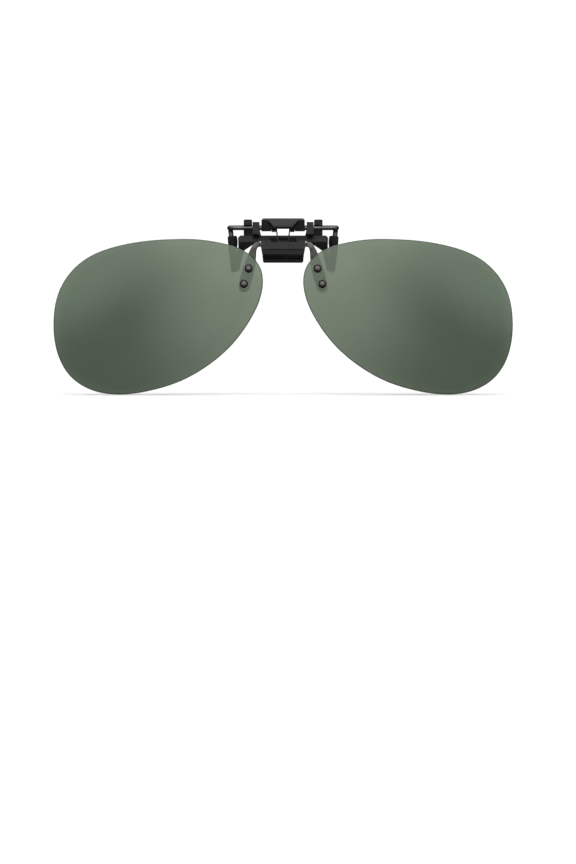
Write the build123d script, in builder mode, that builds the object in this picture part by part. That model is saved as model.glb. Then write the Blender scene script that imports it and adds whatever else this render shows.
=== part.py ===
"""Flip-up clip-on tinted lenses: a sprung jaw that grips a pair of spectacles, and two tinted
lenses that hang from it on a detent hinge.

Millimetres. +Z is up as worn, +X is the wearer's left and -Y is forward, away from the face.
The origin is the middle of the jaw, on the plane where a spectacle lens rests against the two
front pads. Heights are drawn from the lens hinge, which is flip_z above the origin.
"""

from build123d import *
import os
from math import acos, asin, degrees, hypot, sqrt

os.makedirs("parts", exist_ok=True)

# Axes
flip_y, flip_z = -3.6, 5.0  # the hinge that the lenses flip up about
clamp_y, clamp_rise = -2.6, 4.8  # the hinge that the jaw opens about, above the lens hinge
fit_gap = 0.03  # radial clearance of a turning rod in its bore

# Lenses
lens_radius, lens_thick = 190.0, 1.1
lens_front_y = -5.4
blank_back_y, blank_depth = 10.0, 20.0  # the block that the curved shell is cut from
screw_places = [(9.85, -6.9), (11.2, -11.3)]
lens_hole_radius = 0.6
lens_outline = [
    (28.5, 1.6),
    (37.7, 1.2),
    (47.0, -0.3),
    (57.1, -4.4),
    (64.3, -13.2),
    (66.0, -22.0),
    (65.1, -30.5),
    (61.2, -37.8),
    (55.2, -41.7),
    (46.5, -43.0),
    (37.8, -41.8),
    (29.3, -39.1),
    (22.0, -35.0),
    (15.0, -29.1),
    (9.4, -21.6),
    (6.0, -13.2),
    (6.4, -6.9),
    (10.7, -2.1),
    (17.9, 0.5),
]

# Lens fasteners and legs
washer_radius, washer_thick = 1.3, 0.25
head_radius, head_rim, head_dome = 1.18, 0.18, 0.55
shank_radius, shank_end_y = 0.5, -2.2
leg_front_y, leg_thick = -4.0, 0.8
neck_half, neck_inner = 0.75, 6.55
nut_radius, nut_thick = 1.15, 0.75

# Hinge rod and its detent
rod_radius, rod_half, rod_flat, rod_flat_half = 0.85, 6.45, 0.72, 3.9
stub_radius, stub_end = 0.45, 7.9
leaf_thick, leaf_half_x, leaf_half_z, leaf_corner = 0.3, 3.7, 1.85, 0.3
leaf_play_x, leaf_play_z = 0.1, 0.05  # clearance round the leaf in its pocket
leaf_seat, leaf_bend = 0.6, 0.5  # how much of the leaf's ends is held, and how far its middle can bend

# Hinge block: a trapezium seen from the front, split through the lens hinge
block_back_y, block_top, block_bottom = -0.9, 2.57, -5.0
block_half_top, block_half_bottom = 6.5, 5.75
cover_top, cover_groove, cover_bottom = 1.34, -1.4, -5.25
cover_half_top, cover_half_groove, cover_half_bottom, cover_reach = 6.4, 6.25, 5.5, 4.0
cover_bevel_at, cover_bevel_facing = (5.8, -6.0, -2.3), (1, -1, -0.195)
peg_radius, peg_depth, peg_gap, peg_places = 0.4, 1.1, 0.1, [(5.0, -3.2), (-5.0, -3.2)]
notch_left, notch_right, notch_floor = -3.5, 4.3, 0.7

# Rear jaw
wire_radius, wire_inner, wire_outer = 0.72, 1.9, 15.4
claw_y, claw_bend = 1.9, 1.25
claw_top_x, claw_sag, claw_tip_x, claw_tip = 15.1, 0.15, 14.0, -7.2
sleeve_top, sleeve_bottom, sleeve_top_round, sleeve_tip_round = 2.5, -7.9, 0.3, 0.6
lever_half, lever_bottom, lever_top, lever_corner = 6.2, 3.77, 7.5, 0.5
cavity_half, cavity_top, cavity_depth = 3.35, 6.3, 4.0

# Jaw pads
pad_thick, pad_x, pad_drop, pad_lean = 1.0, 13.0, -5.0, 12.0
pad_width, pad_height = 1.9, 4.8

# Torsion spring
spring_wire, spring_coil, spring_pitch, spring_inner = 0.19, 1.12, 0.4, 1.95
bend_swell = 0.01
anchor_y, anchor_z = -4.25, notch_floor + spring_wire + 0.01

SIDES = {"left": 1, "right": -1}


def facing(y):
    """A plane at depth y that faces forward, with X across and heights from the lens hinge."""
    return Plane(origin=(0, y, flip_z), x_dir=(1, 0, 0), z_dir=(0, -1, 0))


def profile(x):
    """A plane at x that faces the wearer's left, with depth Y and heights from the lens hinge."""
    return Plane(origin=(x, 0, flip_z), x_dir=(0, 1, 0), z_dir=(1, 0, 0))


def mirrored(side, points):
    """The points of one half, moved to the side that is +1 for left or -1 for right."""
    return [(side * x, z) for x, z in points]


def across(y, rise):
    """The line parallel to X at depth y and height rise above the lens hinge."""
    return Location((0, y, flip_z + rise), (0, 90, 0))


def save(piece, name):
    piece.part.label = name
    export_step(piece.part, f"parts/{name}.step")


# ---- Root: the clip's frame and what is fixed to it ----

wing = [
    (6.3, 2.5),
    (8.6, 2.6),
    (12.3, 2.6),
    (12.9, 2.0),
    (12.8, -0.7),
    (13.9, -4.6),
    (14.5, -7.0),
    (14.1, -7.6),
    (13.0, -7.7),
    (12.5, -7.2),
    (11.9, -4.6),
    (11.1, -1.7),
    (7.8, 0.5),
    (6.3, 1.0),
]
wing_back, wing_depth, jaw_half = -pad_thick, 2.0, 16.0
# The posts' fronts lean back downwards, the wings' fronts swell out and lean back below
front_profile = [
    (-1.9, 5.6),
    (-1.5, 2.75),
    (-1.85, 2.6),
    (-2.6, 0.8),
    (-2.1, -1.8),
    (-2.1, -9.0),
    (-4.0, -9.0),
    (-4.0, 5.6),
]
post_front_y, post_back_y, post_inner, post_outer, post_top = -1.9, -0.5, 8.85, 11.3, 6.85
post = [
    (6.3, 1.2),
    (6.3, block_top),
    (6.9, 5.1),
    (post_inner, 5.1),
    (post_inner, post_top),
    (post_outer, post_top),
    (post_outer, 2.0),
    (8.6, 1.2),
]
cap_front_y, cap_bottom, cap_top, cap_round = -3.7, 5.65, 7.15, 0.45
ear_inner, ear_outer = 6.75, 8.7
ear_profile = [(-1.3, 3.1), (-1.3, 6.45), (-3.6, 6.45), (-4.0, 3.1)]

with BuildPart() as clip_frame:
    # Wings that turn down into the front claws, and posts behind the claw wires
    for side in SIDES.values():
        with BuildSketch(facing(wing_back)):
            with BuildLine():
                Polyline(mirrored(side, wing), close=True)
            make_face()
        extrude(amount=wing_depth)
        with BuildSketch(facing(post_back_y)):
            with BuildLine():
                Polyline(mirrored(side, post), close=True)
            make_face()
        extrude(amount=post_back_y - post_front_y)
    with BuildSketch(profile(0)):
        with BuildLine():
            Polyline(front_profile, close=True)
        make_face()
    extrude(amount=jaw_half, both=True, mode=Mode.SUBTRACT)
    # Rear half of the hinge block
    with BuildSketch(facing(block_back_y)):
        with BuildLine():
            Polyline(
                (-block_half_top, block_top),
                (block_half_top, block_top),
                (block_half_bottom, block_bottom),
                (-block_half_bottom, block_bottom),
                close=True,
            )
        make_face()
    extrude(amount=block_back_y - flip_y)
    # Ears that carry the wires, and the posts' caps over them
    for side in SIDES.values():
        with BuildSketch(profile(side * ear_inner)):
            with BuildLine():
                Polyline(ear_profile, close=True)
            make_face()
        extrude(amount=side * (ear_outer - ear_inner))
        with BuildSketch(facing(post_back_y)):
            with Locations((side * (post_inner + post_outer) / 2, (cap_bottom + cap_top) / 2)):
                RectangleRounded(post_outer - post_inner, cap_top - cap_bottom, cap_round)
        extrude(amount=post_back_y - cap_front_y)
    # Bores for the claw wires, the hinge rod's half bore, and the leaf spring's pocket
    with Locations(across(clamp_y, clamp_rise)):
        Cylinder(wire_radius + fit_gap, 2 * post_outer, mode=Mode.SUBTRACT)
    with Locations(across(flip_y, 0)):
        Cylinder(rod_radius + fit_gap, 2 * block_half_top, mode=Mode.SUBTRACT)
    leaf_y = flip_y + rod_flat
    with BuildSketch(facing(flip_y)):
        Rectangle(2 * (leaf_half_x + leaf_play_x), 2 * (leaf_half_z + leaf_play_z))
    extrude(amount=-(rod_flat + leaf_thick), mode=Mode.SUBTRACT)
    with BuildSketch(facing(flip_y)):
        Rectangle(2 * (leaf_half_x + leaf_play_x), 2 * (leaf_half_z - leaf_seat))
    extrude(amount=-(rod_flat + leaf_thick + leaf_bend), mode=Mode.SUBTRACT)
    with BuildSketch(facing(flip_y)):
        with Locations(*peg_places):
            Circle(peg_radius)
    extrude(amount=-peg_depth, mode=Mode.SUBTRACT)
save(clip_frame, "clip_frame")

cover_upper = [
    (flip_y, cover_top),
    (-5.05, cover_top),
    (-5.3, 1.05),
    (-5.95, -1.3),
    (-5.6, -1.5),
    (-5.6, -2.1),
    (-6.0, -2.25),
]
cover_barrel = [(-6.0, -2.25), (-5.88, -3.3), (-5.3, -4.15)]
cover_lip = [
    (-5.3, -4.15),
    (-5.1, -4.35),
    (-5.38, -4.6),
    (-5.3, -5.1),
    (-5.1, cover_bottom),
    (flip_y, cover_bottom),
    (flip_y, cover_top),
]
with BuildPart() as hinge_cover:
    # A sloping band, a groove, a barrel and a lip, from top to bottom
    with BuildSketch(profile(0)):
        with BuildLine():
            Polyline(cover_upper)
            ThreePointArc(cover_barrel)
            Polyline(cover_lip)
        make_face()
    extrude(amount=cover_half_top, both=True)
    # Its sides lean in below the groove and its front corners are bevelled
    with BuildSketch(facing(flip_y)):
        with BuildLine():
            Polyline(
                (-cover_half_top, cover_top),
                (cover_half_top, cover_top),
                (cover_half_groove, cover_groove),
                (cover_half_bottom, cover_bottom),
                (-cover_half_bottom, cover_bottom),
                (-cover_half_groove, cover_groove),
                close=True,
            )
        make_face()
    extrude(amount=cover_reach, mode=Mode.INTERSECT)
    for side in SIDES.values():
        x, y, rise = cover_bevel_at
        out, forward, up = cover_bevel_facing
        with BuildSketch(Plane(origin=(side * x, y, flip_z + rise), z_dir=(side * out, forward, up))):
            Rectangle(2 * cover_half_top, 2 * cover_half_top)
        extrude(amount=cover_reach, mode=Mode.SUBTRACT)
    with BuildSketch(facing(flip_y)):
        with Locations(((notch_left + notch_right) / 2, (notch_floor + cover_top) / 2)):
            Rectangle(notch_right - notch_left, cover_top - notch_floor)
    extrude(amount=cover_reach, mode=Mode.SUBTRACT)
    with BuildSketch(facing(flip_y)):
        with Locations(*peg_places):
            Circle(peg_radius)
    extrude(amount=-(peg_depth - peg_gap))
    with Locations(across(flip_y, 0)):
        Cylinder(rod_radius + fit_gap, 2 * block_half_top, mode=Mode.SUBTRACT)
save(hinge_cover, "hinge_cover")

with BuildPart() as detent_spring:
    with BuildSketch(facing(leaf_y + leaf_thick)):
        RectangleRounded(2 * leaf_half_x, 2 * leaf_half_z, leaf_corner)
    extrude(amount=leaf_thick)
save(detent_spring, "detent_spring")

for word, side in SIDES.items():
    with BuildPart() as front_pad:
        with BuildSketch(facing(0)):
            with Locations((side * pad_x, pad_drop)):
                SlotOverall(pad_height, pad_width, rotation=90 + side * pad_lean)
        extrude(amount=pad_thick)
    save(front_pad, f"front_pad_{word}")

# The double torsion spring: a U hooked in the block's notch, two coils and two short arms
arm_reach, arm_rise = 2.6, -0.1
arm_angle = degrees(acos(spring_coil / hypot(arm_reach, arm_rise)) - asin(arm_rise / arm_reach))
coil_turns = 3 - arm_angle / 360
arm_x = spring_inner + coil_turns * spring_pitch
coil_z = flip_z + clamp_rise
anchor, anchor_half = flip_z + anchor_z, 1.5


def straight_wire(points):
    """Adds spring wire along straight runs, with a slightly fuller ball at each bend."""
    for start, end in zip(points, points[1:]):
        span = Vector(*end) - Vector(*start)
        with BuildSketch(Plane(origin=start, z_dir=span)) as section:
            Circle(spring_wire)
        extrude(section.sketch, amount=span.length)
    for point in points:
        with Locations(point):
            Sphere(spring_wire + bend_swell)


# Each coil starts at its foremost point, climbs over the top and runs outwards
coils = {
    side: Plane(origin=(side * spring_inner, clamp_y, coil_z), x_dir=(0, -1, 0), z_dir=(side, 0, 0))
    * Helix(spring_pitch, spring_pitch * coil_turns, spring_coil, lefthand=side > 0)
    for side in SIDES.values()
}

with BuildPart() as torsion_spring:
    for side, coil in coils.items():
        with BuildLine() as winding:
            add(coil)
            Line(coil @ 1, (side * arm_x, clamp_y - arm_reach, coil_z + arm_rise))
        with BuildSketch(coil ^ 0):
            Circle(spring_wire)
        sweep(path=winding.wire())
    straight_wire([
        (-spring_inner, clamp_y - spring_coil, coil_z),
        (-anchor_half, anchor_y, anchor),
        (anchor_half, anchor_y, anchor),
        (spring_inner, clamp_y - spring_coil, coil_z),
    ])
save(torsion_spring, "torsion_spring")

# ---- Rear jaw: a thumb lever with two wire claws in rubber sleeves ----

lever_profile = [
    (-1.3, lever_bottom),
    (-1.3, 6.9),
    (-1.8, lever_top),
    (-3.2, lever_top),
    (-4.0, 7.0),
    (-3.5, lever_bottom),
]
tongue_profile = [(-3.0, 7.35), (-3.4, 7.4), (-6.2, 5.4), (-6.35, 4.95), (-6.1, 4.4), (-3.0, 6.2)]
tongue_plan = [(-4.5, -3.0), (-4.4, -3.9), (-2.7, -6.4), (2.7, -6.4), (4.4, -3.9), (4.5, -3.0)]
channel_width = 0.9

with BuildPart() as thumb_lever:
    # The tongue that the thumb presses, narrower towards its tip
    with BuildSketch(profile(0)):
        with BuildLine():
            Polyline(tongue_profile, close=True)
        make_face()
    extrude(amount=lever_half, both=True)
    with BuildSketch():
        with BuildLine():
            Polyline(tongue_plan, close=True)
        make_face()
    extrude(amount=flip_z + lever_top, mode=Mode.INTERSECT)
    # The body, with a knuckle over each claw wire and a hollow between them for the spring
    with BuildSketch(profile(0)):
        with BuildLine():
            Polyline(lever_profile, close=True)
        make_face()
    extrude(amount=lever_half, both=True)
    chamfer(edges().filter_by(Axis.Y).group_by(Axis.Z)[-1], lever_corner)
    with BuildSketch(facing(0)):
        with Locations((0, (lever_bottom + cavity_top) / 2)):
            Rectangle(2 * cavity_half, cavity_top - lever_bottom)
    extrude(amount=cavity_depth, mode=Mode.SUBTRACT)
    with Locations(across(clamp_y, clamp_rise)):
        Cylinder(wire_radius, 2 * lever_half, mode=Mode.SUBTRACT)
    with BuildSketch(profile(0)):
        with Locations((clamp_y, (clamp_rise + lever_bottom) / 2)):
            Rectangle(channel_width, clamp_rise - lever_bottom)
    extrude(amount=lever_half, both=True, mode=Mode.SUBTRACT)
save(thumb_lever, "thumb_lever")

for word, side in SIDES.items():
    claw_root = (side * wire_inner, clamp_y, coil_z)
    claw_elbow = (side * wire_outer, clamp_y, coil_z)
    claw_turn = (side * claw_top_x, claw_y, coil_z - claw_sag)
    claw_end = (side * claw_tip_x, claw_y, flip_z + claw_tip)
    with BuildPart() as claw_wire:
        with BuildLine() as route:
            FilletPolyline(claw_root, claw_elbow, claw_turn, claw_end, radius=claw_bend)
        with BuildSketch(route.line ^ 0):
            Circle(wire_radius)
        sweep(path=route.line)
    save(claw_wire, f"claw_wire_{word}")

    # The sleeve is a soft boot, fuller on its inner side and flared at the top
    down = (Vector(*claw_end) - Vector(*claw_turn)).normalized()
    start = Vector(*claw_turn) + down * ((clamp_rise - claw_sag - sleeve_top) / -down.Z)
    wire_in = (Vector(*claw_end) - start).length
    sleeve_length = (sleeve_top - sleeve_bottom) / -down.Z
    with BuildPart() as claw_sleeve:
        for along, inward, half_x, half_y in (
            (0, 0.25, 1.3, 1.2),
            (0.9, 0.3, 1.4, 1.3),
            (3.5, 0.15, 1.25, 1.15),
            (sleeve_length, 0, 1.05, 1.05),
        ):
            spot = start + down * along - Vector(side * inward, 0, 0)
            with BuildSketch(Plane(origin=spot, x_dir=(down.Z, 0, -down.X), z_dir=down)):
                Ellipse(half_x, half_y)
        loft()
        fillet(edges().group_by(Axis.Z)[0], sleeve_tip_round)
        fillet(edges().group_by(Axis.Z)[-1], sleeve_top_round)
        with BuildSketch(Plane(origin=start, x_dir=(down.Z, 0, -down.X), z_dir=down)):
            Circle(wire_radius)
        extrude(amount=wire_in, mode=Mode.SUBTRACT)
    save(claw_sleeve, f"claw_sleeve_{word}")

# ---- Lens carrier: hinge rod, legs, lenses and their fasteners ----

with BuildPart() as hinge_rod:
    with Locations(across(flip_y, 0)):
        Cylinder(rod_radius, 2 * rod_half)
    # Four flats in the middle that the leaf spring rests on
    with BuildSketch(profile(0)):
        with Locations((flip_y, 0)):
            Circle(2 * rod_radius)
            Rectangle(2 * rod_flat, 2 * rod_flat, mode=Mode.SUBTRACT)
    extrude(amount=rod_flat_half, both=True, mode=Mode.SUBTRACT)
    with Locations(across(flip_y, 0)):
        Cylinder(stub_radius, 2 * stub_end)
save(hinge_rod, "hinge_rod")

leg_outer = [(7.6, 0.7), (8.15, 0.5), (8.8, -0.3), (9.45, -1.5), (10.1, -3.0), (11.3, -6.3), (12.2, -9.3)]
leg_end = [(12.65, -12.0), (11.3, -13.7), (9.75, -12.7)]
leg_inner = [(8.85, -10.0), (8.1, -7.0), (7.8, -4.6), (7.7, -2.6), (7.5, -1.3), (7.1, -0.7)]
leg_profile = [
    (flip_y - neck_half, 2.0),
    (flip_y - neck_half, -1.0),
    (leg_front_y, -4.0),
    (leg_front_y, -15.0),
    (leg_front_y + leg_thick, -15.0),
    (leg_front_y + leg_thick, -4.0),
    (flip_y + neck_half, -1.0),
    (flip_y + neck_half, 2.0),
]
neck_round, leg_reach = 0.3, 3.0

for word, side in SIDES.items():
    with BuildPart() as lens_leg:
        # A flat blade behind the lens that thickens to a round neck and turns in to the rod
        with BuildSketch(facing(flip_y + leg_reach)):
            with BuildLine():
                Line(*mirrored(side, [(neck_inner, neck_half), leg_outer[0]]))
                Spline(*mirrored(side, leg_outer))
                Line(*mirrored(side, [leg_outer[-1], leg_end[0]]))
                ThreePointArc(*mirrored(side, leg_end))
                Line(*mirrored(side, [leg_end[-1], leg_inner[0]]))
                Spline(*mirrored(side, leg_inner))
                Line(*mirrored(side, [leg_inner[-1], (neck_inner, -neck_half)]))
                Line(*mirrored(side, [(neck_inner, -neck_half), (neck_inner, neck_half)]))
            make_face()
        extrude(amount=2 * leg_reach)
        with BuildSketch(profile(0)):
            with BuildLine():
                Polyline(leg_profile, close=True)
            make_face()
        extrude(amount=leg_end[0][0] + leg_reach, both=True, mode=Mode.INTERSECT)
        ways = [(edge, edge % 0.5) for edge in edges()]
        fillet([edge for edge, way in ways if abs(way.X) < 0.999 and abs(way.Y) < 0.9], neck_round)
        with BuildSketch(facing(leg_front_y)):
            with Locations(*mirrored(side, screw_places)):
                Circle(shank_radius)
        extrude(amount=-leg_thick, mode=Mode.SUBTRACT)
        with Locations(across(flip_y, 0)):
            Cylinder(stub_radius, 2 * stub_end, mode=Mode.SUBTRACT)
    save(lens_leg, f"lens_leg_{word}")

    middle_x = side * sum(x for x, z in screw_places) / 2
    middle_z = flip_z + sum(z for x, z in screw_places) / 2
    with BuildPart() as lens:
        # A slice of a thin spherical shell whose crown is between the two screws
        with BuildSketch(facing(blank_back_y)):
            with BuildLine():
                Spline(*mirrored(side, lens_outline), periodic=True)
            make_face()
        extrude(amount=blank_depth)
        with Locations((middle_x, lens_front_y + lens_radius, middle_z)):
            Sphere(lens_radius, mode=Mode.INTERSECT)
            Sphere(lens_radius - lens_thick, mode=Mode.SUBTRACT)
        with BuildSketch(facing(blank_back_y)):
            with Locations(*mirrored(side, screw_places)):
                Circle(lens_hole_radius)
        extrude(amount=blank_depth, mode=Mode.SUBTRACT)
    save(lens, f"lens_{word}")

    seat_y = lens_front_y - washer_thick
    dome_radius = (head_radius**2 + head_dome**2) / (2 * head_dome)
    half_dome = head_radius / 2
    half_dome_y = -head_rim - head_dome + dome_radius - sqrt(dome_radius**2 - half_dome**2)
    with BuildPart() as lens_screws:
        for x, z in mirrored(side, screw_places):
            seat = Plane(origin=(x, seat_y, flip_z + z), x_dir=(1, 0, 0), z_dir=(0, 0, 1))
            with BuildSketch(seat):
                with BuildLine():
                    crown = ThreePointArc(
                        (0, -head_rim - head_dome), (half_dome, half_dome_y), (head_radius, -head_rim)
                    )
                    Polyline(
                        crown @ 1,
                        (head_radius, 0),
                        (shank_radius, 0),
                        (shank_radius, shank_end_y - seat_y),
                        (0, shank_end_y - seat_y),
                        crown @ 0,
                    )
                make_face()
            revolve(axis=Axis((x, seat_y, flip_z + z), (0, 1, 0)))
    save(lens_screws, f"lens_screws_{word}")

    for place, washer_y in (("front", lens_front_y), ("rear", leg_front_y)):
        with BuildPart() as washers:
            with BuildSketch(facing(washer_y)):
                with Locations(*mirrored(side, screw_places)):
                    Circle(washer_radius)
                    Circle(shank_radius, mode=Mode.SUBTRACT)
            extrude(amount=washer_thick)
        save(washers, f"{place}_washers_{word}")

    with BuildPart() as lens_nuts:
        with BuildSketch(facing(leg_front_y + leg_thick)):
            with Locations(*mirrored(side, screw_places)):
                RegularPolygon(nut_radius, 6)
                Circle(shank_radius, mode=Mode.SUBTRACT)
        extrude(amount=-nut_thick)
    save(lens_nuts, f"lens_nuts_{word}")
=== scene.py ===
"""Looks of the flip-up clip-on lenses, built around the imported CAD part.

Metres, in the row frame: +X is the wearer's left, -Y is forward and +Z is up as worn.
"""

from math import cos, radians, sin, sqrt

import bmesh
import bpy
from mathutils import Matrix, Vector
from mathutils.geometry import delaunay_2d_cdt


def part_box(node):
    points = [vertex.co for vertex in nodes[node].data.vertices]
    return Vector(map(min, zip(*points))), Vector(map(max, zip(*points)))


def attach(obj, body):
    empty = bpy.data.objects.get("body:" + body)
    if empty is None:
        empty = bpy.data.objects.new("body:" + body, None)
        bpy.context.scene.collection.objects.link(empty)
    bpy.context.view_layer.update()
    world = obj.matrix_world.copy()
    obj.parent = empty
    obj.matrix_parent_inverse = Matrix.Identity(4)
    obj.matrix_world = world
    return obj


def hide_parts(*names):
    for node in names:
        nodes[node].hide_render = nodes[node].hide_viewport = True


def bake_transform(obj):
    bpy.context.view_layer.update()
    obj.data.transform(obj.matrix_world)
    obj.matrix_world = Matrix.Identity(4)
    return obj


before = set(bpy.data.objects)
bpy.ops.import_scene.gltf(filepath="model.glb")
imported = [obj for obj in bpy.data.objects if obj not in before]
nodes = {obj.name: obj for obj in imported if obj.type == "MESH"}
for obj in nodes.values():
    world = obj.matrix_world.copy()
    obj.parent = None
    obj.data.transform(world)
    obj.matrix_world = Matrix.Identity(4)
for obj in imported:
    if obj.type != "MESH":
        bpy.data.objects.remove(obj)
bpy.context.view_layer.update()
scene = bpy.context.scene

MM = 0.001
SIDES = {"left": 1, "right": -1}


def link(made):
    scene.collection.objects.link(made)
    return made


# ---- Camera: level and square to the lenses, far off behind a long lens ----

SENSOR_MM = 36.0
FOCAL_MM = 200.0
FRAME_SPAN = 246.9 * MM  # what the picture's height takes in at the lenses
LENS_PLANE_Y = -4.5 * MM
PICTURE_MIDDLE_X = 1.4 * MM
PICTURE_MIDDLE_Z = -48.6 * MM
CAMERA_Z = -12.0 * MM

camera_data = bpy.data.cameras.new("camera")
camera_data.lens = FOCAL_MM
camera_data.sensor_width = SENSOR_MM
camera_data.shift_y = (PICTURE_MIDDLE_Z - CAMERA_Z) / FRAME_SPAN
camera = link(bpy.data.objects.new("camera", camera_data))
camera_y = LENS_PLANE_Y - FRAME_SPAN * FOCAL_MM / SENSOR_MM
camera.location = (PICTURE_MIDDLE_X, camera_y, CAMERA_Z)
camera.rotation_euler = (radians(90), 0, 0)
scene.camera = camera
scene.view_settings.view_transform = "Standard"

# ---- Nodes ----


class Graph:
    """A node tree with short calls.

    An input is given by its name, or as i and its number where names repeat. One that is a socket is
    linked, and any other is set.
    """

    def __init__(self, tree):
        self.tree = tree

    def add(self, kind, settings=None, **inputs):
        node = self.tree.nodes.new(kind)
        for key, value in (settings or {}).items():
            setattr(node, key, value)
        for key, value in inputs.items():
            numbered = key[0] == "i" and key[1:].isdigit()
            socket = node.inputs[int(key[1:]) if numbered else key.replace("_", " ")]
            if isinstance(value, bpy.types.NodeSocket):
                self.tree.links.new(value, socket)
            else:
                socket.default_value = value
        return node

    def math(self, operation, first, second=0.0, clamp=False):
        node = self.add(
            "ShaderNodeMath", {"operation": operation, "use_clamp": clamp}, i0=first, i1=second
        )
        return node.outputs[0]

    def smooth(self, value, start, end, low=0.0, high=1.0):
        """low until value reaches start, high from end on, and a smooth step between them."""
        node = self.add(
            "ShaderNodeMapRange",
            {"interpolation_type": "SMOOTHSTEP"},
            Value=value,
            From_Min=start,
            From_Max=end,
            To_Min=low,
            To_Max=high,
        )
        return node.outputs["Result"]

    def spread(self, value, low, high):
        """A value from 0 to 1 stretched to run from low to high."""
        return self.add("ShaderNodeMapRange", Value=value, To_Min=low, To_Max=high).outputs["Result"]

    def mix(self, factor, first, second):
        node = self.add("ShaderNodeMix", {"data_type": "RGBA"}, i0=factor, i6=first, i7=second)
        return node.outputs[2]

    def place(self, scale=(1, 1, 1)):
        """Where a point is on its object, in millimetres times scale."""
        spot = self.add("ShaderNodeTexCoord").outputs["Object"]
        sized = [s / MM for s in scale]
        node = self.add("ShaderNodeVectorMath", {"operation": "MULTIPLY"}, i0=spot, i1=sized)
        return node.outputs[0]

    def noise(self, scale, detail=3.0, roughness=0.55, stretch=(1, 1, 1)):
        node = self.add(
            "ShaderNodeTexNoise",
            Vector=self.place(stretch),
            Scale=scale,
            Detail=detail,
            Roughness=roughness,
        )
        return node.outputs["Fac"]

    def bump(self, height, distance_mm, strength=1.0, normal=None):
        node = self.add("ShaderNodeBump", Height=height, Distance=distance_mm * MM, Strength=strength)
        if normal is not None:
            self.tree.links.new(normal, node.inputs["Normal"])
        return node.outputs["Normal"]

    def edges(self, radius_mm, samples=6):
        """1 along the edges that stand proud, fading to 0 within about radius_mm of them."""
        rounded = self.add("ShaderNodeBevel", {"samples": samples}, Radius=radius_mm * MM).outputs[0]
        flat = self.add("ShaderNodeNewGeometry").outputs["Normal"]
        facing = self.add("ShaderNodeVectorMath", {"operation": "DOT_PRODUCT"}, i0=rounded, i1=flat)
        return self.smooth(facing.outputs["Value"], 0.995, 0.85)


def new_material(name):
    """A material, its node graph and its Principled shader."""
    material = bpy.data.materials.new(name)
    material.use_nodes = True
    return material, Graph(material.node_tree), material.node_tree.nodes["Principled BSDF"]


def wire_up(graph, shader, **inputs):
    """Links or sets a shader's inputs, by name."""
    for key, value in inputs.items():
        socket = shader.inputs[key.replace("_", " ")]
        if isinstance(value, bpy.types.NodeSocket):
            graph.tree.links.new(value, socket)
        else:
            socket.default_value = value


def black_finish(name, tone, worn_edge_and_highlight, rough, grain_scale, grain_mm, metallic=0.0, level=0.5):
    """Black paint or plastic: mottled, finely grained, and paler along its edges, where edge wear and
    a painted highlight are one colour.
    """
    material, graph, shader = new_material(name)
    mottle = graph.noise(0.35, detail=4.0)
    grain = graph.noise(grain_scale, detail=2.0)
    scuffs = graph.noise(2.2, detail=5.0, roughness=0.7)
    # Edge wear broken up by scuffs, which also stands as a painted highlight along the edges
    wear_and_painted_highlight = graph.math("MULTIPLY", graph.edges(0.12), graph.smooth(scuffs, 0.42, 0.66))
    darker = [t * 0.7 for t in tone] + [1]
    paler = [t * 1.35 for t in tone] + [1]
    colour = graph.mix(graph.smooth(mottle, 0.3, 0.7), darker, paler)
    colour = graph.mix(wear_and_painted_highlight, colour, [*worn_edge_and_highlight, 1])
    wire_up(
        graph,
        shader,
        Base_Color=colour,
        Roughness=graph.spread(scuffs, rough - 0.12, rough + 0.12),
        Metallic=metallic,
        Specular_IOR_Level=level,
        Normal=graph.bump(grain, grain_mm),
    )
    return material


def metal_finish(name, tone, rough, streak, stretch):
    """Metal with fine drawn or brushed streaks along one direction, a few darker stains, and paler
    edges that are edge wear and a painted highlight.
    """
    material, graph, shader = new_material(name)
    streaks = graph.noise(streak, detail=3.0, stretch=stretch)
    stains = graph.noise(0.8, detail=4.0)
    darker = [t * 0.65 for t in tone] + [1]
    paler = [t * 1.25 for t in tone] + [1]
    bright = [min(1.0, t * 2.2) for t in tone] + [1]
    colour = graph.mix(graph.smooth(stains, 0.3, 0.7), darker, paler)
    # Paler edges: edge wear and a painted highlight
    colour = graph.mix(graph.edges(0.1), colour, bright)
    wire_up(
        graph,
        shader,
        Base_Color=colour,
        Metallic=1.0,
        Roughness=graph.spread(streaks, rough - 0.1, rough + 0.12),
        Normal=graph.bump(streaks, 0.004),
    )
    return material


def screw_finish(name, tone, crown):
    """Blackened screw metal, paler where its crown faces forward: wear on the crown and a painted
    highlight.
    """
    material, graph, shader = new_material(name)
    normal = graph.add("ShaderNodeTexCoord").outputs["Normal"]
    turned = graph.add("ShaderNodeSeparateXYZ", Vector=normal)
    forward = graph.math("MULTIPLY", turned.outputs["Y"], -1.0)
    scuffs = graph.noise(3.0, detail=5.0, roughness=0.7)
    patchy = graph.spread(scuffs, -0.06, 0.06)
    # Painted highlight, with wear: the forward-facing crown turns paler
    wear_and_painted_highlight = graph.smooth(graph.math("ADD", forward, patchy), 0.80, 0.93)
    wire_up(
        graph,
        shader,
        Base_Color=graph.mix(wear_and_painted_highlight, [*tone, 1], [*crown, 1]),
        Metallic=0.9,
        Roughness=graph.spread(scuffs, 0.28, 0.5),
        Normal=graph.bump(graph.noise(12.0), 0.003),
    )
    return material


def rubber_finish(name):
    """Matt black rubber, finely pitted, with a slight grey bloom."""
    material, graph, shader = new_material(name)
    bloom = graph.noise(0.5, detail=4.0)
    pits = graph.noise(9.0, detail=3.0)
    fresh, bloomed = (0.004, 0.004, 0.004, 1), (0.012, 0.012, 0.011, 1)
    colour = graph.mix(graph.smooth(bloom, 0.35, 0.75), fresh, bloomed)
    wire_up(
        graph,
        shader,
        Base_Color=colour,
        Roughness=graph.spread(pits, 0.5, 0.75),
        Specular_IOR_Level=0.22,
        Normal=graph.bump(pits, 0.02),
    )
    return material
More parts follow.
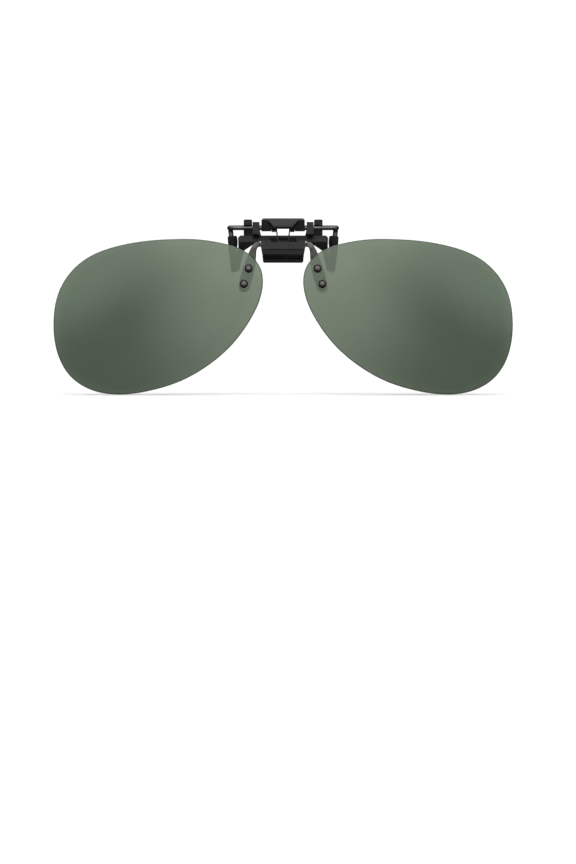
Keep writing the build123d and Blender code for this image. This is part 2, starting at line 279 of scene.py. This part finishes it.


# Seen against white, the lens shows these; the rest of its tone is what its gloss reflects. The darker
# temple colour carries painted shade, and the paler rim colour is painted light.
NASAL_TINT = (0.110, 0.130, 0.098)
TEMPLE_TINT_PAINTED_SHADE = (0.073, 0.102, 0.071)
RIM_PAINTED_LIGHT = (0.12, 0.15, 0.11)
EDGE_TINT = (0.012, 0.014, 0.012)
COAT_TINT = (0.81, 1.0, 0.78, 1)
SEE_THROUGH = 0.85


def lens_finish(name):
    """Grey-green polarising plastic, with painted shade darkening it towards the temples and the
    bottom, and painted light making it paler along its rim.
    """
    material, graph, shader = new_material(name)
    across = graph.add("ShaderNodeSeparateXYZ", Vector=graph.place())
    outward = graph.math("ABSOLUTE", across.outputs["X"])
    lowered = graph.math("MULTIPLY", across.outputs["Z"], -0.35)
    cloud = graph.spread(graph.noise(0.03, detail=2.0), -3.0, 3.0)
    # Painted shade: the colour darkens the further out and the lower a point is
    reach = graph.math("ADD", graph.math("ADD", outward, lowered), cloud)
    tint_and_painted_light = graph.mix(graph.smooth(reach, 10.0, 74.0), [*NASAL_TINT, 1], [*TEMPLE_TINT_PAINTED_SHADE, 1])
    # Painted light: the colour turns paler along the rim
    rim = graph.add("ShaderNodeAttribute", {"attribute_name": "rim"}).outputs["Fac"]
    pale = graph.math("MULTIPLY", graph.smooth(rim, 0.0, 1.0), 0.5)
    tint_and_painted_light = graph.mix(pale, tint_and_painted_light, [*RIM_PAINTED_LIGHT, 1])
    tint_and_painted_light = graph.mix(graph.smooth(rim, 0.87, 0.95), tint_and_painted_light, [*EDGE_TINT, 1])
    smears = graph.noise(0.12, detail=5.0, roughness=0.6, stretch=(1, 1, 0.5))
    wire_up(
        graph,
        shader,
        Base_Color=tint_and_painted_light,
        Roughness=graph.spread(smears, 0.06, 0.12),
        IOR=1.8,
        Transmission_Weight=SEE_THROUGH,
        Specular_Tint=COAT_TINT,
    )
    return material


def washer_finish(name):
    """Clear plastic with a faint haze."""
    material, graph, shader = new_material(name)
    haze = graph.noise(1.5, detail=3.0)
    wire_up(
        graph,
        shader,
        Base_Color=(0.62, 0.62, 0.60, 1),
        Roughness=graph.spread(haze, 0.15, 0.35),
        IOR=1.49,
        Transmission_Weight=0.9,
        Normal=graph.bump(haze, 0.01),
    )
    return material


DRAWN_ALONG_Z = (8, 8, 0.4)
BLACK = (0.004, 0.004, 0.0043)
FINISH = {
    # In each black finish the second colour is the edge colour: edge wear and a painted highlight
    # together
    "black_casting": black_finish(
        "black_casting", BLACK, (0.1, 0.098, 0.095), 0.3, 14.0, 0.012, level=0.22
    ),
    "black_wire": black_finish(
        "black_wire", (0.085, 0.085, 0.088), (0.2, 0.2, 0.2), 0.24, 10.0, 0.004, metallic=0.9
    ),
    "black_spring": black_finish(
        "black_spring", (0.02, 0.02, 0.02), (0.12, 0.12, 0.12), 0.32, 16.0, 0.004, metallic=0.6
    ),
    "black_rubber": rubber_finish("black_rubber"),
    "spring_steel": metal_finish("spring_steel", (0.012, 0.012, 0.014), 0.4, 6.0, (0.3, 6, 6)),
    "gunmetal": metal_finish("gunmetal", (0.125, 0.116, 0.105), 0.36, 2.0, DRAWN_ALONG_Z),
    # The screw's second colour is its crown's: wear and a painted highlight together
    "screw_metal": screw_finish("screw_metal", (0.015, 0.015, 0.015), (0.12, 0.11, 0.1)),
    "tinted_lens": lens_finish("tinted_lens"),
    "clear_washer": washer_finish("clear_washer"),
}
for name, node in nodes.items():
    slot = node.material_slots[0]
    slot.material = FINISH[slot.material.name.split(".")[0]]

# The frame, the hinge cover and the lever have soft edges that catch the light
SOFT_EDGES = {"clip_frame": 0.14, "hinge_cover": 0.14, "thumb_lever": 0.16}
SHARP_ANGLE = radians(25)
for name, width in SOFT_EDGES.items():
    weld = nodes[name].modifiers.new("weld", "WELD")
    weld.merge_threshold = 0.001 * MM
    bevel = nodes[name].modifiers.new("bevel", "BEVEL")
    bevel.width = width * MM
    bevel.segments = 3
    bevel.limit_method = "ANGLE"
    bevel.angle_limit = SHARP_ANGLE
    bevel.harden_normals = True
    bevel.use_clamp_overlap = True

# ---- Lenses: smooth spherical meniscus shells with a polished rim and two drilled holes ----

LENS_RADIUS = 190.0 * MM
LENS_THICK = 1.1 * MM
ON_SPHERE = 0.004 * MM
WELD = 0.001 * MM
OUTLINE_STEPS = 4
GRID_STEP = 2.4 * MM
ROW_STEP = GRID_STEP * sqrt(3) / 2
RIM_RINGS = (1.0 * MM, 2.0 * MM, 3.2 * MM)
RING_STRIDE = 3  # outline points to each point of a ring
# The polished rim's profile: distance in from the outline, and depth behind the front, in millimetres
RIM_PROFILE = ((0.2, 0.0), (0.06, 0.05), (0.0, 0.2), (0.0, 0.9), (0.06, 1.05), (0.2, 1.1))


def front_loops(node, middle):
    """The edges of a lens's front face as closed loops of (x, z) points, the outline first."""
    mesh = nodes[node].data
    keys = [(round(v.co.x / WELD), round(v.co.z / WELD)) for v in mesh.vertices]
    on_front = [abs((v.co - middle).length - LENS_RADIUS) < ON_SPHERE for v in mesh.vertices]
    uses = {}
    for face in mesh.polygons:
        if all(on_front[v] for v in face.vertices):
            for first, second in face.edge_keys:
                ends = frozenset((keys[first], keys[second]))
                uses[ends] = uses.get(ends, 0) + 1
    beside = {}
    for ends, count in uses.items():
        if count == 1:
            first, second = ends
            beside.setdefault(first, []).append(second)
            beside.setdefault(second, []).append(first)
    loops = []
    while beside:
        spot = min(beside)
        loop = []
        while spot:
            loop.append(Vector(spot) * WELD)
            spot = next((k for k in beside.pop(spot) if k in beside), None)
        loops.append(loop)
    return sorted(loops, key=len, reverse=True)


def rounded(loop, steps):
    """A closed loop with steps points for each of its own, on smooth curves through them."""
    count = len(loop)
    points = []
    for i in range(count):
        before, start, end, after = (loop[(i + k) % count] for k in (-1, 0, 1, 2))
        for step in range(steps):
            t = step / steps
            points.append(
                (
                    2 * start
                    + (end - before) * t
                    + (2 * before - 5 * start + 4 * end - after) * t**2
                    + (3 * start - before - 3 * end + after) * t**3
                )
                / 2
            )
    return points


def inward(loop):
    """The unit direction into a closed loop at each of its points."""
    after = loop[1:] + loop[:1]
    turn = 1 if sum(a.x * b.y - b.x * a.y for a, b in zip(loop, after)) > 0 else -1
    along = [(b - a).normalized() for a, b in zip(loop[-1:] + loop[:-1], after)]
    return [Vector((-d.y, d.x)) * turn for d in along]


def inside(spot, loop):
    """Whether a closed loop goes round a spot."""
    crossings = 0
    for a, b in zip(loop, loop[1:] + loop[:1]):
        if (a.y > spot.y) != (b.y > spot.y):
            crossings += spot.x < a.x + (b.x - a.x) * (spot.y - a.y) / (b.y - a.y)
    return crossings % 2 == 1


def grid(loop):
    """Points in even rows over a closed loop's box."""
    low = [min(p[k] for p in loop) for k in (0, 1)]
    high = [max(p[k] for p in loop) for k in (0, 1)]
    for row in range(int((high[1] - low[1]) / ROW_STEP) + 1):
        for column in range(int((high[0] - low[0]) / GRID_STEP) + 1):
            x = low[0] + GRID_STEP * (column + 0.5 * (row % 2))
            yield Vector((x, low[1] + ROW_STEP * row))


def lens_face(edge, holes, outline, into):
    """A lens's face laid flat, as its points and its triangles. Edge and hole points come first."""
    points, bounds = [], []
    for loop in [edge, *holes]:
        first, count = len(points), len(loop)
        bounds += [(first + i, first + (i + 1) % count) for i in range(count)]
        points += loop
    for ring in RIM_RINGS:
        points += [p + d * ring for p, d in zip(outline[::RING_STRIDE], into[::RING_STRIDE])]
    for spot in grid(outline):
        off_rim = min((spot - p).length for p in outline)
        off_holes = min((spot - p).length for hole in holes for p in hole)
        clear = off_rim > RIM_RINGS[-1] + GRID_STEP / 2 and off_holes > GRID_STEP / 4
        if clear and inside(spot, outline):
            points.append(spot)
    flat, _, triangles, *_ = delaunay_2d_cdt(points, bounds, [], 1, WELD / 10)
    origin = Vector((0, 0))
    centres = [sum(hole, origin) / len(hole) for hole in holes]
    bore = (holes[0][0] - centres[0]).length
    middles = [sum((flat[i] for i in t), origin) / 3 for t in triangles]
    solid = [all((m - c).length > bore * 0.99 for c in centres) for m in middles]
    return flat, [t for t, kept in zip(triangles, solid) if kept]


def wall(rings):
    """Quads between rings of vertex numbers, and the edges along the first ring and the last."""
    count = len(rings[0])
    steps = [(i, (i + 1) % count) for i in range(count)]
    quads = [(a[i], a[j], b[j], b[i]) for a, b in zip(rings, rings[1:]) for i, j in steps]
    return quads, {frozenset((ring[i], ring[j])) for ring in (rings[0], rings[-1]) for i, j in steps}


def shell_mesh(name, spots, faces, sharp):
    """A smooth mesh with its normals outwards, creased along the sharp edges."""
    mesh = bpy.data.meshes.new(name)
    mesh.from_pydata(spots, [], faces)
    shape = bmesh.new()
    shape.from_mesh(mesh)
    bmesh.ops.recalc_face_normals(shape, faces=shape.faces)
    for edge in shape.edges:
        edge.smooth = frozenset(v.index for v in edge.verts) not in sharp
    for polygon in shape.faces:
        polygon.smooth = True
    shape.to_mesh(mesh)
    shape.free()
    return mesh


def mark_rim(mesh, outline):
    """Stores how near each vertex is to the outline, 1 on it and 0 past the last ring."""
    near_rim = mesh.attributes.new("rim", "FLOAT", "POINT")
    for i, vertex in enumerate(mesh.vertices):
        spot = Vector((vertex.co.x, vertex.co.z))
        off = min((spot - p).length for p in outline)
        near_rim.data[i].value = max(0.0, 1 - off / RIM_RINGS[-1])


def make_lens(word):
    low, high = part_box(f"front_washers_{word}")
    middle = Vector(((low.x + high.x) / 2, high.y + LENS_RADIUS, (low.z + high.z) / 2))

    def at_depth(loop, depth):
        """A flat loop's points on the sphere that lies depth behind the lens's front."""
        reach = (LENS_RADIUS - depth) ** 2
        offs = [(p.x - middle.x) ** 2 + (p.y - middle.z) ** 2 for p in loop]
        return [(p.x, middle.y - sqrt(reach - off), p.y) for p, off in zip(loop, offs)]

    loops = front_loops(f"lens_{word}", middle)
    outline, holes = rounded(loops[0], OUTLINE_STEPS), loops[1:]
    into = inward(outline)
    rim = [[p + d * inset * MM for p, d in zip(outline, into)] for inset, _ in RIM_PROFILE]
    flat, face = lens_face(rim[0], holes, outline, into)
    count, size = len(flat), len(outline)
    spots = at_depth(flat, 0) + at_depth(flat, LENS_THICK)
    faces = [tuple(t) for t in face] + [tuple(i + count for i in reversed(t)) for t in face]

    rings = [range(size)]
    for loop, (_, depth) in list(zip(rim, RIM_PROFILE))[1:-1]:
        rings.append(range(len(spots), len(spots) + size))
        spots += at_depth(loop, depth * MM)
    rings.append(range(count, count + size))
    walls = [rings]
    first = size
    for hole in holes:
        walls.append([range(first + k, first + k + len(hole)) for k in (0, count)])
        first += len(hole)
    sharp = set()
    for rings in walls:
        quads, ends = wall(rings)
        faces += quads
        sharp |= ends

    mesh = shell_mesh(f"shell_{word}", spots, faces, sharp)
    mark_rim(mesh, outline)
    mesh.materials.append(FINISH["tinted_lens"])
    shell = link(bpy.data.objects.new(f"lens_shell_{word}", mesh))
    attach(shell, "lens_carrier")
    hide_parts(f"lens_{word}")


for word in SIDES:
    make_lens(word)

# ---- Torsion spring: the CAD spring cut at the middle into two halves, each closed where it is cut ----

WIRE_BEND = radians(50)


def make_spring_half(word, side):
    """A copy of the CAD spring on one side of the middle, closed where it is cut."""
    shape = bmesh.new()
    shape.from_mesh(nodes["torsion_spring"].data)
    bmesh.ops.remove_doubles(shape, verts=shape.verts, dist=0.1 * WELD)
    everything = shape.verts[:] + shape.edges[:] + shape.faces[:]
    cut = bmesh.ops.bisect_plane(
        shape, geom=everything, plane_co=(0, 0, 0), plane_no=(side, 0, 0), clear_inner=True
    )
    opened = [part for part in cut["geom_cut"] if isinstance(part, bmesh.types.BMEdge)]
    bmesh.ops.edgeloop_fill(shape, edges=opened)
    bmesh.ops.recalc_face_normals(shape, faces=shape.faces)
    for edge in shape.edges:
        edge.smooth = edge.calc_face_angle(0) < WIRE_BEND
    for polygon in shape.faces:
        polygon.smooth = True
    mesh = bpy.data.meshes.new(f"spring_{word}")
    shape.to_mesh(mesh)
    shape.free()
    mesh.materials.append(FINISH["black_spring"])
    half = link(bpy.data.objects.new(f"spring_half_{word}", mesh))
    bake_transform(half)
    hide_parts("torsion_spring")


for word, side in SIDES.items():
    make_spring_half(word, side)

# ---- Stage: pale floor under the lenses, white surroundings and soft light ----

FLOOR_DROP = 0.1 * MM
FLOOR_HALF = 8.0
floor_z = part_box("lens_left")[0].z - FLOOR_DROP
floor_mesh = bpy.data.meshes.new("floor")
turns = [(-1, -1), (1, -1), (1, 1), (-1, 1)]
corners = [(FLOOR_HALF * x, FLOOR_HALF * y, floor_z) for x, y in turns]
floor_mesh.from_pydata(corners, [], [(0, 1, 2, 3)])
floor = link(bpy.data.objects.new("floor", floor_mesh))
floor_material, floor_graph, floor_shader = new_material("floor")
floor_tone = floor_graph.noise(0.02, detail=2.0)
wire_up(
    floor_graph,
    floor_shader,
    Base_Color=floor_graph.mix(floor_tone, (0.88, 0.88, 0.88, 1), (0.9, 0.9, 0.9, 1)),
    Roughness=0.9,
    Specular_IOR_Level=0.0,
)
floor_mesh.materials.append(floor_material)
floor.visible_glossy = False  # the glossy parts reflect dark surroundings below, as in a studio

AMBIENT = 0.05
WHITE = 1.08  # as bright as the lit floor, so that no horizon shows through the lenses
# Each light: its direction (azimuth from the camera's side, elevation), the angles within which it is
# full and beyond which it is gone, and its radiance
FRONT_STRIP = [((0, up), 2, 24, glow) for up, glow in ((-6, 0.6), (6, 0.6), (18, 0.75), (30, 0.85))]
SIDE_BOXES = [((turn, 32), 36, 48, 1.05) for turn in (-50, 50)]
OVERHEAD = ((0, 90), 20, 60, 1.2)
BEHIND = ((180, 40), 15, 50, 0.4)
LIGHTS = [*FRONT_STRIP, *SIDE_BOXES, OVERHEAD, BEHIND]
world = bpy.data.worlds.new("studio")
world.use_nodes = True
scene.world = world
# The broad glows light by being hit, so what shows through a lens agrees with what the camera sees
world.cycles.sampling_method = "NONE"
sky = Graph(world.node_tree)
heading = sky.add("ShaderNodeTexCoord").outputs["Generated"]
radiance = AMBIENT
for (azimuth, elevation), inner, outer, strength in LIGHTS:
    a, e = radians(azimuth), radians(elevation)
    axis = (sin(a) * cos(e), -cos(a) * cos(e), sin(e))
    toward = sky.add("ShaderNodeVectorMath", {"operation": "DOT_PRODUCT"}, i0=heading, i1=axis)
    glow = sky.smooth(toward.outputs["Value"], cos(radians(outer)), cos(radians(inner)), 0.0, strength)
    radiance = sky.math("ADD", glow, radiance)
path = sky.add("ShaderNodeLightPath")
seen = sky.math("MAXIMUM", path.outputs["Is Camera Ray"], path.outputs["Is Transmission Ray"])
shown = sky.mix(seen, radiance, (WHITE, WHITE, WHITE, 1))
backdrop = world.node_tree.nodes["Background"]
world.node_tree.links.new(shown, backdrop.inputs["Color"])
